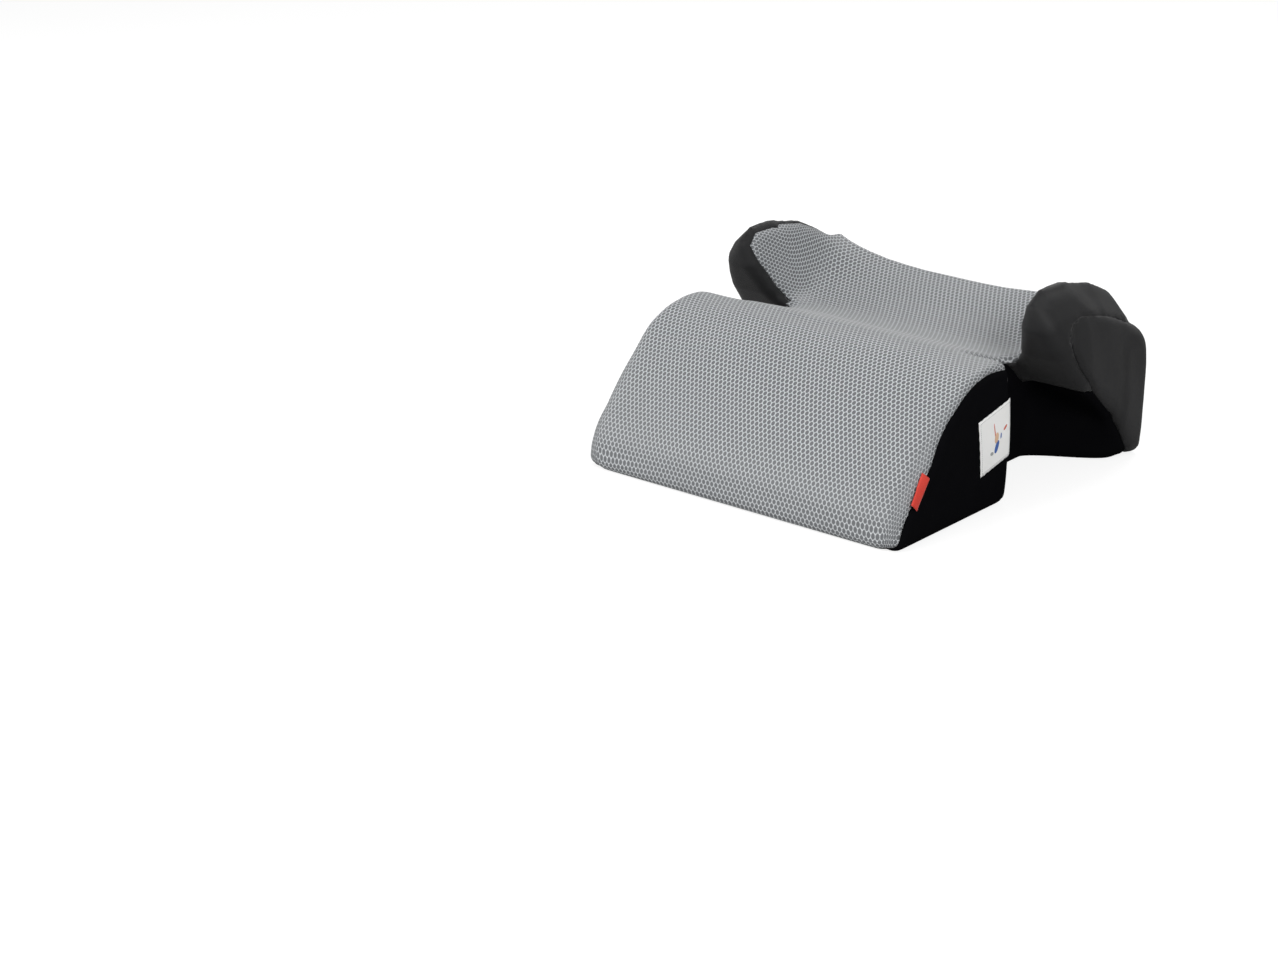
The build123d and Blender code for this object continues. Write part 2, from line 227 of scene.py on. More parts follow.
def netSurface(form, low, high, cell):
    # quads round the zero surface of a form: one vertex in each grid cell that it passes through
    count = [int(np.ceil((high[i] - low[i]) / cell)) + 1 for i in range(3)]
    grid = np.meshgrid(*[low[i] + cell * np.arange(count[i]) for i in range(3)], indexing="ij")
    value = form(*grid)
    inside = value < 0
    corners = [(i, j, k) for i in (0, 1) for j in (0, 1) for k in (0, 1)]
    filled = np.zeros([n - 1 for n in count], int)
    for i, j, k in corners:
        filled += inside[i:count[0] - 1 + i, j:count[1] - 1 + j, k:count[2] - 1 + k]
    crossed = (filled > 0) & (filled < 8)
    cells = np.argwhere(crossed)
    number = -np.ones(crossed.shape, int)
    number[crossed] = np.arange(len(cells))
    total = np.zeros((len(cells), 3))
    hits = np.zeros(len(cells))
    for a in corners:
        for b in corners:
            if sum(abs(m - n) for m, n in zip(a, b)) != 1 or a > b:
                continue
            va = value[tuple((cells + a).T)]
            vb = value[tuple((cells + b).T)]
            cut = (va < 0) != (vb < 0)
            t = np.where(cut, va / np.where(cut, va - vb, 1), 0)
            total += (np.array(a) + t[:, None] * (np.array(b) - np.array(a))) * cut[:, None]
            hits += cut
    verts = (cells + total / hits[:, None]) * cell + np.array(low)
    quads = []
    for axis in range(3):
        u, v = (axis + 1) % 3, (axis + 2) % 3
        first = [slice(None)] * 3
        second = [slice(None)] * 3
        first[axis] = slice(0, count[axis] - 1)
        second[axis] = slice(1, count[axis])
        edges = np.argwhere(inside[tuple(first)] != inside[tuple(second)])
        held = (edges[:, u] > 0) & (edges[:, v] > 0)
        edges = edges[held & (edges[:, u] < count[u] - 1) & (edges[:, v] < count[v] - 1)]
        starts = inside[tuple(first)][tuple(edges.T)]
        ring = []
        for du, dv in ((1, 1), (0, 1), (0, 0), (1, 0)):
            spot = edges.copy()
            spot[:, u] -= du
            spot[:, v] -= dv
            ring.append(number[tuple(spot.T)])
        quad = np.stack(ring, 1)
        quad[~starts] = quad[~starts][:, ::-1]
        quads.append(quad)
    return verts, np.concatenate(quads)


def toFrame(points):
    # from mm measured at the front edge to metres in the model's frame
    return np.array(points, float) * mm + np.array([0, frontY, 0])


def meshPiece(name, verts, faces, smooth=True):
    mesh = bpy.data.meshes.new(name)
    mesh.from_pydata([tuple(v) for v in verts], [], [tuple(f) for f in faces])
    mesh.update()
    mesh.polygons.foreach_set("use_smooth", [smooth] * len(mesh.polygons))
    obj = bpy.data.objects.new(name, mesh)
    bpy.context.scene.collection.objects.link(obj)
    return obj


def finishPiece(obj, material, replaced=()):
    obj.data.materials.clear()
    obj.data.materials.append(material)
    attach(obj, "root")
    if replaced:
        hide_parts(*replaced)
    return obj


def newGroup(name, inputs, outputs):
    group = bpy.data.node_groups.new(name, "ShaderNodeTree")
    for label, kind, value in inputs:
        socket = group.interface.new_socket(label, in_out="INPUT", socket_type=kind)
        if value is not None:
            socket.default_value = value
    for label, kind in outputs:
        group.interface.new_socket(label, in_out="OUTPUT", socket_type=kind)
    ends = group.nodes.new("NodeGroupInput"), group.nodes.new("NodeGroupOutput")
    return group, ends[0], ends[1]


def wire(tree, a, b):
    tree.links.new(a, b)


def maths(tree, operation, *values):
    # a math node whose inputs are sockets or numbers
    node = tree.nodes.new("ShaderNodeMath")
    node.operation = operation
    for i, value in enumerate(values):
        if isinstance(value, bpy.types.NodeSocket):
            tree.links.new(value, node.inputs[i])
        else:
            node.inputs[i].default_value = value
    return node.outputs[0]


def stepped(tree, value, low, high):
    # smooth 0 to 1 between low and high
    node = tree.nodes.new("ShaderNodeMapRange")
    node.interpolation_type = "SMOOTHSTEP"
    for socket, item in (("Value", value), ("From Min", low), ("From Max", high)):
        if isinstance(item, bpy.types.NodeSocket):
            tree.links.new(item, node.inputs[socket])
        else:
            node.inputs[socket].default_value = item
    return node.outputs["Result"]


def buildAirMeshGroup():
    # knitted air mesh: staggered rows of oval holes between light strands
    group, given, result = newGroup(
        "airMeshKnit",
        [
            ("Place", "NodeSocketVector", None),
            ("Pitch", "NodeSocketFloat", 5.2),
            ("Row", "NodeSocketFloat", 4.8),
            ("Hole", "NodeSocketFloat", 1.7),
            ("Soft", "NodeSocketFloat", 0.7),
        ],
        [("Strand", "NodeSocketFloat"), ("Height", "NodeSocketFloat"), ("Fibre", "NodeSocketFloat")],
    )
    split = group.nodes.new("ShaderNodeSeparateXYZ")
    wire(group, given.outputs["Place"], split.inputs[0])
    u = maths(group, "MULTIPLY", split.outputs[0], 1000.0)
    v = maths(group, "MULTIPLY", split.outputs[1], 1000.0)
    pitch = given.outputs["Pitch"]
    doubleRow = maths(group, "MULTIPLY", given.outputs["Row"], 2.0)

    def fromMiddle(value, spacing, shift):
        # how far a point is from the middle of the repeat that it falls in
        repeat = maths(group, "FRACT", maths(group, "ADD", maths(group, "DIVIDE", value, spacing), shift))
        return maths(group, "MULTIPLY", maths(group, "SUBTRACT", repeat, 0.5), spacing)

    distances = []
    for shift in (0.0, 0.5):
        a = fromMiddle(u, pitch, shift)
        b = maths(group, "MULTIPLY", fromMiddle(v, doubleRow, shift), 0.82)  # longer along the columns
        squares = maths(group, "ADD", maths(group, "MULTIPLY", a, a), maths(group, "MULTIPLY", b, b))
        distances.append(maths(group, "SQRT", squares))
    nearest = maths(group, "MINIMUM", *distances)
    edge = maths(group, "ADD", given.outputs["Hole"], given.outputs["Soft"])
    strand = stepped(group, nearest, given.outputs["Hole"], edge)
    crest = stepped(group, nearest, given.outputs["Hole"], maths(group, "ADD", edge, 0.7))
    fibre = group.nodes.new("ShaderNodeTexNoise")
    fibre.inputs["Scale"].default_value = 1900.0
    fibre.inputs["Detail"].default_value = 2.0
    wire(group, given.outputs["Place"], fibre.inputs["Vector"])
    wire(group, strand, result.inputs["Strand"])
    wire(group, crest, result.inputs["Height"])
    wire(group, fibre.outputs["Fac"], result.inputs["Fibre"])
    return group


def buildWeaveGroup():
    # plain weave: two crossed sets of threads, with slubs and slow unevenness
    group, given, result = newGroup(
        "clothWeave",
        [
            ("Place", "NodeSocketVector", None),
            ("Thread", "NodeSocketFloat", 0.7),
            ("Seed", "NodeSocketFloat", 0.0),
        ],
        [("Thread", "NodeSocketFloat"), ("Uneven", "NodeSocketFloat"), ("Crease", "NodeSocketFloat")],
    )
    split = group.nodes.new("ShaderNodeSeparateXYZ")
    wire(group, given.outputs["Place"], split.inputs[0])
    waves = []
    for axis in (0, 1):
        angle = maths(group, "MULTIPLY", split.outputs[axis], math.tau / mm)
        waves.append(maths(group, "SINE", maths(group, "DIVIDE", angle, given.outputs["Thread"])))
    weave = maths(group, "MULTIPLY", waves[0], waves[1])
    wire(group, maths(group, "MULTIPLY_ADD", weave, 0.5, 0.5), result.inputs["Thread"])
    for label, scale, detail in (("Uneven", 60.0, 3.0), ("Crease", 14.0, 4.0)):
        noise = group.nodes.new("ShaderNodeTexNoise")
        noise.noise_dimensions = "4D"
        noise.inputs["Scale"].default_value = scale
        noise.inputs["Detail"].default_value = detail
        wire(group, given.outputs["Place"], noise.inputs["Vector"])
        wire(group, given.outputs["Seed"], noise.inputs["W"])
        wire(group, noise.outputs["Fac"], result.inputs[label])
    return group


airMeshKnit = buildAirMeshGroup()
clothWeave = buildWeaveGroup()


def newMaterial(name):
    material = bpy.data.materials.new(name)
    material.use_nodes = True
    tree = material.node_tree
    return material, tree, tree.nodes["Principled BSDF"]


def placeFrom(tree, layer=None):
    if layer:
        node = tree.nodes.new("ShaderNodeUVMap")
        node.uv_map = layer
        return node.outputs["UV"]
    return tree.nodes.new("ShaderNodeTexCoord").outputs["Object"]


def mixColour(tree, factor, a, b):
    node = tree.nodes.new("ShaderNodeMix")
    node.data_type = "RGBA"
    for socket, item in ((node.inputs["Factor"], factor), (node.inputs["A"], a), (node.inputs["B"], b)):
        if isinstance(item, bpy.types.NodeSocket):
            tree.links.new(item, socket)
        else:
            socket.default_value = item if not isinstance(item, tuple) else (*item, 1.0)
    return node.outputs["Result"]


def bump(tree, height, strength, distance):
    node = tree.nodes.new("ShaderNodeBump")
    node.inputs["Strength"].default_value = strength
    node.inputs["Distance"].default_value = distance
    wire(tree, height, node.inputs["Height"])
    return node.outputs["Normal"]


def airMeshMaterial():
    look = {
        "strand": (0.76, 0.785, 0.81),
        "strandDark": (0.55, 0.57, 0.59),
        # the dark in each hole is partly the layer under the knit and partly painted shade inside the hole
        "hole": (0.135, 0.142, 0.15),
    }
    material, tree, bsdf = newMaterial("airMesh")
    knit = tree.nodes.new("ShaderNodeGroup")
    knit.node_tree = airMeshKnit
    wire(tree, placeFrom(tree, "cloth"), knit.inputs["Place"])
    yarn = mixColour(tree, knit.outputs["Fibre"], look["strandDark"], look["strand"])
    wire(tree, mixColour(tree, knit.outputs["Strand"], look["hole"], yarn), bsdf.inputs["Base Color"])
    wire(tree, maths(tree, "MULTIPLY_ADD", knit.outputs["Fibre"], 0.25, 0.42), bsdf.inputs["Roughness"])
    wire(tree, bump(tree, knit.outputs["Height"], 1.0, 0.0011), bsdf.inputs["Normal"])
    bsdf.inputs["Sheen Weight"].default_value = 0.25
    bsdf.inputs["Sheen Roughness"].default_value = 0.35
    return material


def clothMaterial(
    name, colour, thread, roughness, sheen, seed, weaveDepth=0.00012, creaseDepth=0.0, shine=0.5
):
    material, tree, bsdf = newMaterial(name)
    weave = tree.nodes.new("ShaderNodeGroup")
    weave.node_tree = clothWeave
    weave.inputs["Thread"].default_value = thread
    weave.inputs["Seed"].default_value = seed
    wire(tree, placeFrom(tree, "cloth"), weave.inputs["Place"])
    lighter = tuple(min(0.95, c * 1.6 + 0.001) for c in colour)
    darker = tuple(c * (0.7 if c < 0.5 else 0.93) for c in colour)
    uneven = maths(tree, "MULTIPLY", weave.outputs["Uneven"], 0.5)
    blend = maths(tree, "MULTIPLY_ADD", weave.outputs["Thread"], 0.45, uneven)
    wire(tree, mixColour(tree, blend, darker, lighter), bsdf.inputs["Base Color"])
    rough = maths(tree, "MULTIPLY_ADD", weave.outputs["Uneven"], 0.2, roughness - 0.1)
    wire(tree, rough, bsdf.inputs["Roughness"])
    crease = creaseDepth / weaveDepth
    height = maths(tree, "MULTIPLY_ADD", weave.outputs["Crease"], crease, weave.outputs["Thread"])
    wire(tree, bump(tree, height, 0.8, weaveDepth), bsdf.inputs["Normal"])
    bsdf.inputs["Specular IOR Level"].default_value = shine
    bsdf.inputs["Sheen Weight"].default_value = sheen
    bsdf.inputs["Sheen Roughness"].default_value = 0.45
    return material


def plasticMaterial(name, colour, roughness, grain, coat=0.0):
    material, tree, bsdf = newMaterial(name)
    place = placeFrom(tree)
    fine = tree.nodes.new("ShaderNodeTexNoise")
    fine.inputs["Scale"].default_value = grain
    fine.inputs["Detail"].default_value = 3.0
    wire(tree, place, fine.inputs["Vector"])
    slow = tree.nodes.new("ShaderNodeTexNoise")
    slow.inputs["Scale"].default_value = 18.0
    wire(tree, place, slow.inputs["Vector"])
    darker = tuple(c * 0.8 for c in colour)
    lighter = tuple(c * 1.25 for c in colour)
    wire(tree, mixColour(tree, slow.outputs["Fac"], darker, lighter), bsdf.inputs["Base Color"])
    rough = maths(tree, "MULTIPLY_ADD", slow.outputs["Fac"], 0.2, roughness - 0.1)
    wire(tree, rough, bsdf.inputs["Roughness"])
    wire(tree, bump(tree, fine.outputs["Fac"], 0.4, 0.0002), bsdf.inputs["Normal"])
    bsdf.inputs["Coat Weight"].default_value = coat
    return material


finish = {
    "airMesh": airMeshMaterial(),
    "black": clothMaterial("blackPolyester", (0.0022, 0.0022, 0.0028), 0.8, 0.9, 0.0, 1.0, shine=0.02),
    "charcoal": clothMaterial(
        "charcoalSatin", (0.0105, 0.0105, 0.0112), 0.7, 0.5, 0.08, 2.0, creaseDepth=0.0005, shine=0.25
    ),
    "hem": clothMaterial(
        "hemTape", (0.004, 0.004, 0.0045), 1.2, 0.85, 0.0, 3.0, weaveDepth=0.0003, shine=0.05
    ),
    "foam": plasticMaterial("openFoam", (0.75, 0.72, 0.62), 0.95, 500.0),
    "shell": plasticMaterial("shellPlastic", (0.03, 0.03, 0.032), 0.55, 900.0),
    "rubber": plasticMaterial("footRubber", (0.02, 0.02, 0.02), 0.8, 700.0),
    "hook": plasticMaterial("hookPlastic", (0.02, 0.02, 0.02), 0.35, 500.0, coat=0.2),
    "elastic": plasticMaterial("braidedElastic", (0.6, 0.6, 0.58), 0.85, 1500.0),
    "sticker": plasticMaterial("vinylSticker", (0.85, 0.33, 0.03), 0.4, 300.0, coat=0.3),
    "label": clothMaterial("labelRibbon", (0.95, 0.95, 0.92), 0.35, 0.6, 0.3, 4.0, weaveDepth=0.00006),
    "thread": clothMaterial("labelThread", (0.33, 0.34, 0.34), 0.4, 0.6, 0.1, 5.0),
    "tab": clothMaterial("tabRibbon", (0.50, 0.03, 0.015), 0.45, 0.6, 0.15, 6.0, weaveDepth=0.00008),
    "markRed": plasticMaterial("markRed", (0.6, 0.1, 0.05), 0.6, 900.0),
    "markPeach": plasticMaterial("markPeach", (0.75, 0.5, 0.33), 0.6, 900.0),
    "markBlue": plasticMaterial("markBlue", (0.06, 0.14, 0.42), 0.6, 900.0),
    "markGrey": plasticMaterial("markGrey", (0.35, 0.37, 0.36), 0.6, 900.0),
}
print("finishes made")


view = {
    "azimuth": 35.6,
    "elevation": 18.5,
    "distance": 3.0,
    "lens": 81.58,
    "target": (0, 190, 80),
    "besideTarget": -0.071305,  # how far the camera looks past the target, for each metre ahead
    "aboveTarget": -0.033667,
}


def setCamera():
    a, e = math.radians(view["azimuth"]), math.radians(view["elevation"])
    back = Vector((math.sin(a) * math.cos(e), -math.cos(a) * math.cos(e), math.sin(e)))
    target = Vector(toFrame([view["target"]])[0])
    right = Vector((math.cos(a), math.sin(a), 0))
    up = right.cross(-back)
    look = (-back + right * view["besideTarget"] + up * view["aboveTarget"]).normalized()
    cam = bpy.data.cameras.new("camera")
    cam.lens = view["lens"]
    cam.sensor_width = 36.0
    obj = bpy.data.objects.new("camera", cam)
    obj.location = target + back * view["distance"]
    obj.rotation_euler = look.to_track_quat("-Z", "Y").to_euler()
    bpy.context.scene.collection.objects.link(obj)
    bpy.context.scene.camera = obj


lamps = [
    # name, place, size, watts
    ("overhead", (-0.3, 1.7, 1.9), 1.1, 22.0),
    ("frontFill", (-0.6, -2.2, 0.9), 1.5, 29.0),
    ("leftSoft", (-2.2, -0.9, 0.8), 1.4, 18.0),
    ("rightSoft", (2.1, -1.1, 1.4), 0.9, 38.0),
]


def addLights():
    for name, place, size, power in lamps:
        lamp = bpy.data.lights.new(name, "AREA")
        lamp.energy = power
        lamp.size = size
        obj = bpy.data.objects.new(name, lamp)
        obj.location = place
        obj.rotation_euler = (Vector((0, 0, 0.1)) - Vector(place)).to_track_quat("-Z", "Y").to_euler()
        bpy.context.scene.collection.objects.link(obj)
    world = bpy.data.worlds.new("studio")
    world.use_nodes = True
    tree = world.node_tree
    seen = tree.nodes.new("ShaderNodeLightPath").outputs["Is Camera Ray"]
    # white behind the seat, dimmer where it only lights it
    wire(tree, maths(tree, "MULTIPLY_ADD", seen, 0.65, 0.35), tree.nodes["Background"].inputs["Strength"])
    tree.nodes["Background"].inputs["Color"].default_value = (1.0, 1.0, 1.0, 1)
    bpy.context.scene.world = world
    bpy.context.scene.view_settings.view_transform = "Standard"


def addFloor():
    edge = 6.0
    corners = [(-edge, -edge, 0), (edge, -edge, 0), (edge, edge, 0), (-edge, edge, 0)]
    floor = meshPiece("floor", corners, [(0, 1, 2, 3)])
    material, tree, bsdf = newMaterial("paleFloor")
    noise = tree.nodes.new("ShaderNodeTexNoise")
    noise.inputs["Scale"].default_value = 3.0
    wire(tree, placeFrom(tree), noise.inputs["Vector"])
    pale = mixColour(tree, noise.outputs["Fac"], (0.34, 0.34, 0.34), (0.37, 0.37, 0.37))
    wire(tree, pale, bsdf.inputs["Base Color"])
    bsdf.inputs["Roughness"].default_value = 0.9
    bsdf.inputs["Specular IOR Level"].default_value = 0.0
    glow = tree.nodes.new("ShaderNodeEmission")
    blend = tree.nodes.new("ShaderNodeAddShader")
    seen = tree.nodes.new("ShaderNodeLightPath").outputs["Is Camera Ray"]
    wire(tree, maths(tree, "MULTIPLY", seen, 0.78), glow.inputs["Strength"])
    wire(tree, bsdf.outputs[0], blend.inputs[0])
    wire(tree, glow.outputs[0], blend.inputs[1])
    wire(tree, blend.outputs[0], tree.nodes["Material Output"].inputs["Surface"])
    floor.data.materials.append(material)
    floor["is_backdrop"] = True


setCamera()
addLights()
addFloor()
print("camera, lights and floor set")


# the cover is one surface, cut along its seams into panels
cover = {
    "cell": 3.6,
    "seamDrop": 7.0,  # the top panel wraps this far down over the edge
    "seamDepth": 2.4,
    "seamWidth": 7.0,
    "thickness": 1.6,
    "wingEnd": 240,  # the wings' panels lie in front of this
    "armStart": 215,  # and the armrests behind this
    "rearStart": 396,
    "rearHalf": 176,
}
# outline of the armrest's outer panel, from the side: distance from the front, and height
outerPanel = [
    (311, 90), (284, 122), (275, 138), (271, 155), (277, 168), (294, 174), (333, 166), (360, 158),
    (386, 147), (440, 128), (440, -30), (414, -30), (350, 56),
]


def topSeam(p):
    # the top panel wraps further down over the edge near the front
    ax, y, z = np.abs(p[:, 0]), p[:, 1], p[:, 2]
    drop = cover["seamDrop"] + 8.5 * (1 - ramp(45, 85, y))
    # and dips into the crease beside each armrest
    drop = drop + 18 * ramp(302, 318, y) * (1 - ramp(368, 386, y)) * ramp(92, 104, z)
    front = 7 - y - 0.3 * np.clip(ax - 172, 0, 40)
    return np.maximum(aboveTop(ax, y, z) + drop, front)


def armInnerSeam(p):
    # the strip round each armrest begins just behind its nose, and along the crest of its top
    high = np.maximum(ramp(150, 186, p[:, 2]), ramp(296, 336, p[:, 1]))
    crest = 130 + 50 * ramp(264, 308, p[:, 1]) * high
    wide = 5.5 + 5 * ramp(104, 138, p[:, 2]) * (1 - ramp(158, 186, p[:, 2]))
    edge = np.minimum(finDistance(p[:, 1], p[:, 2]) + wide, np.abs(p[:, 0]) - crest)
    return np.maximum(edge, np.abs(p[:, 0]) - 184)


def wingCornerSeam(p):
    return np.abs(p[:, 0]) - p[:, 1] - 3


def notchSeam(p):
    return finDistance(p[:, 1], p[:, 2]) - 9


def armOuterSeam(p):
    # only over the outer face and round the rear corner
    outward = np.maximum(np.abs(p[:, 0]) - 198, p[:, 1] - 400)
    return np.minimum(-insideOutline(p[:, 1], p[:, 2], outerPanel), np.maximum(outward, 3 * (p[:, 2] - 90)))


def armGussetSeam(p):
    # the charcoal strip ends under the nose; below it the black notch cloth is carried up the fin's front, a
    # darker cloth that paints the shade under the nose
    return p[:, 2] - 88 - 0.25 * (p[:, 1] - 300)


def rearSeam(p):
    return np.abs(p[:, 0]) - cover["rearHalf"]


def cutAlong(bm, seam, within):
    # splits the faces of a region along the line where seam is zero
    verts = list(bm.verts)
    p = np.array([v.co for v in verts])
    values = seam(p)
    region = within(p)
    bm.verts.index_update()
    mark = {v: values[i] for i, v in enumerate(verts)}
    inRegion = {v: bool(region[i]) for i, v in enumerate(verts)}
    for edge in list(bm.edges):
        a, b = edge.verts
        if not (inRegion[a] and inRegion[b]) or mark[a] * mark[b] >= 0:
            continue
        t = mark[a] / (mark[a] - mark[b])
        if t < 0.2:
            a.co = a.co.lerp(b.co, t)
            mark[a] = 0.0
        elif t > 0.8:
            b.co = a.co.lerp(b.co, t)
            mark[b] = 0.0
    for edge in list(bm.edges):
        a, b = edge.verts
        if not (inRegion[a] and inRegion[b]) or mark[a] * mark[b] >= 0:
            continue
        t = mark[a] / (mark[a] - mark[b])
        _, new = bmesh.utils.edge_split(edge, a, t)
        mark[new] = 0.0
        inRegion[new] = True
    for face in list(bm.faces):
        on = [v for v in face.verts if mark[v] == 0.0]
        signs = {mark[v] > 0 for v in face.verts if mark[v] != 0.0}
        if len(on) < 2 or len(signs) < 2 or not all(inRegion[v] for v in face.verts):
            continue
        for i, a in enumerate(on):
            for b in on[i + 1:]:
                linked = any(b in e.verts for e in a.link_edges)
                if not linked and a in face.verts and b in face.verts:
                    try:
                        bmesh.utils.face_split(face, a, b)
                    except ValueError:
                        continue


def panelNames(p):
    # which panel each face belongs to, from its centre
    ax, y = np.abs(p[:, 0]), p[:, 1]
    side = np.where(p[:, 0] > 0, "right", "left")
    behind = y > cover["armStart"]
    atRear = y > cover["rearStart"]
    onTop = topSeam(p) > 0
    overArm = (ax > 146) & behind & (armInnerSeam(p) > 0)
    notchName = np.char.add(side, "Notch")
    # below the gusset line the fin's front gets the black notch cloth: painted shade under the armrest's
    # nose
    stripName = np.where(armGussetSeam(p) > 0, np.char.add(side, "ArmFront"), notchName)
    armName = np.where(armOuterSeam(p) > 0, np.char.add(side, "ArmOuter"), stripName)
    name = np.where((notchSeam(p) <= 0) & (ax > seat["halfWaist"]) & behind, armName, notchName)
    name = np.where(atRear & (ax >= cover["rearHalf"]), armName, name)
    name = np.where(atRear & (ax < cover["rearHalf"]), "rear", name)
    name = np.where((y < cover["wingEnd"]) & (wingCornerSeam(p) > 0), np.char.add(side, "Wing"), name)
    name = np.where(onTop & overArm, armName, name)
    return np.where(onTop & ~overArm, "meshTop", name)


def makeBody():
    verts, quads = netSurface(body, (-236, -14, -10), (236, 428, 216), cover["cell"])
    verts = ontoSurface(verts)
    obj = meshPiece("coverBody", verts, quads)
    bm = bmesh.new()
    bm.from_mesh(obj.data)
    bpy.data.objects.remove(obj)
    bmesh.ops.smooth_vert(
        bm, verts=bm.verts, factor=0.5, use_axis_x=True, use_axis_y=True, use_axis_z=True
    )
    p = ontoSurface([v.co for v in bm.verts])
    for v, co in zip(bm.verts, p):
        v.co = co
    bmesh.ops.bisect_plane(
        bm, geom=bm.verts[:] + bm.edges[:] + bm.faces[:], dist=0.05,
        plane_co=(0, 0, seat["hem"]), plane_no=(0, 0, -1), clear_outer=True,
    )

    def between(q, nearest, farthest, outside):
        # the stretch between two distances from the front, and outside a distance from the middle
        return (q[:, 1] > nearest) & (q[:, 1] < farthest) & (np.abs(q[:, 0]) > outside)

    armStart, beyond = cover["armStart"], seat["depth"] + 20
    cutAlong(bm, topSeam, lambda q: q[:, 2] < 200)
    cutAlong(bm, armInnerSeam, lambda q: (topSeam(q) > -12) & between(q, armStart, beyond, 0))
    cutAlong(bm, wingCornerSeam, lambda q: (topSeam(q) < 12) & between(q, -20, cover["wingEnd"], 150))
    cutAlong(bm, notchSeam, lambda q: between(q, armStart, 408, 110))
    cutAlong(bm, armOuterSeam, lambda q: between(q, armStart, beyond, 150))
    cutAlong(bm, armGussetSeam, lambda q: (armOuterSeam(q) < 3) & between(q, 240, 400, 130))
    cutAlong(bm, rearSeam, lambda q: q[:, 1] > 385)
    return bm


def clothPlace(p, name):
    # flat place of each point on its cloth, in metres
    ax, y, z = np.abs(p[:, 0]), p[:, 1], p[:, 2]
    if name != "meshTop":
        return np.stack([(y - ax) * mm, z * mm], 1)
    t = np.linspace(-3, 402, 406)
    heights = middleCurve(t)[0]
    lengths = np.concatenate([[0], np.cumsum(np.hypot(np.diff(t), np.diff(heights)))])
    top = seatTop(ax, y)[0]
    low = np.minimum(z, top + 2) - top + middleCurve(y)[0]
    drop = (heights[None] - low[:, None]) ** 2 + (t[None] - y[:, None]) ** 2
    # slide to the exact foot on the curve
    i = np.clip(np.argmin(drop, 1), 1, len(t) - 2)
    tangent = np.stack([t[i + 1] - t[i - 1], heights[i + 1] - heights[i - 1]], 1)
    tangent /= np.linalg.norm(tangent, axis=1)[:, None]
    along = lengths[i] + (y - t[i]) * tangent[:, 0] + (low - heights[i]) * tangent[:, 1]
    across = ax + 0.88 * np.maximum(0, z - top - 1) + 0.8 * np.clip(top - z, 0, 20) * ramp(178, 194, ax)
    return np.stack([np.sign(p[:, 0]) * across * mm, along * mm], 1)


def slack(p):
    # slow unevenness of cloth drawn over foam, fading out on the ground edge
    x, y, z = p.T
    wave = np.sin(x / 29 + 1.4 * np.sin(y / 37)) * np.sin(y / 23 + z / 31 + 0.8 * np.sin(x / 41))
    fold = np.sin((y + 0.7 * z) / 9 + 2 * np.sin(z / 40)) * ramp(190, 205, np.abs(x)) * ramp(230, 300, y)
    return (0.55 * wave + 0.3 * fold) * ramp(2, 25, z)


def panelObject(bm, faces, name):
    index = {}
    verts = []
    polys = []
    for face in faces:
        ring = []
        for v in face.verts:
            if v not in index:
                index[v] = len(verts)
                verts.append(v.co[:])
            ring.append(index[v])
        polys.append(ring)
    p = np.array(verts)
    # the seam pulls the cloth in
    edges = {}
    for ring in polys:
        for a, b in zip(ring, ring[1:] + ring[:1]):
            key = (min(a, b), max(a, b))
            edges[key] = edges.get(key, 0) + 1
    rim = sorted({v for key, n in edges.items() if n == 1 for v in key})
    rim = [v for v in rim if p[v][2] > seat["hem"] + 1]
    tree = kdtree.KDTree(max(1, len(rim)))
    for v in rim:
        tree.insert(p[v], v)
    tree.balance()
    away = np.array([tree.find(co)[2] for co in p]) if rim else np.full(len(p), 99.0)
    g = bodyGradient(p)
    g /= np.maximum(np.linalg.norm(g, axis=1), 1e-6)[:, None]
    place = clothPlace(p, name)
    pucker = 1 + 0.35 * np.sin(p @ np.array([0.62, 0.55, 0.71])) * np.sin(p @ np.array([-0.31, 0.44, 0.52]))
    depth = cover["seamDepth"] * (1 - 0.6 * ramp(150, 175, p[:, 2]))  # shallower on the armrests
    pull = depth * pucker * (1 - ramp(0, cover["seamWidth"], away)) ** 1.5
    p = p - g * (pull + slack(p))[:, None]
    obj = meshPiece(name, toFrame(p), polys)
    layer = obj.data.uv_layers.new(name="cloth")
    corner = np.zeros(len(obj.data.loops), int)
    obj.data.loops.foreach_get("vertex_index", corner)
    layer.data.foreach_set("uv", place[corner].ravel())
    thick = obj.modifiers.new("thickness", "SOLIDIFY")
    thick.thickness = cover["thickness"] * mm
    thick.offset = -1
    print(name, "covers", round(sum(face.area for face in obj.data.polygons), 4), "square metres")
    return obj


coverBody = makeBody()
centres = np.array([face.calc_center_median() for face in coverBody.faces])
panels = {}
for face, name in zip(coverBody.faces, panelNames(centres)):
    panels.setdefault(str(name), []).append(face)
print("cover cut into", {k: len(v) for k, v in panels.items()})

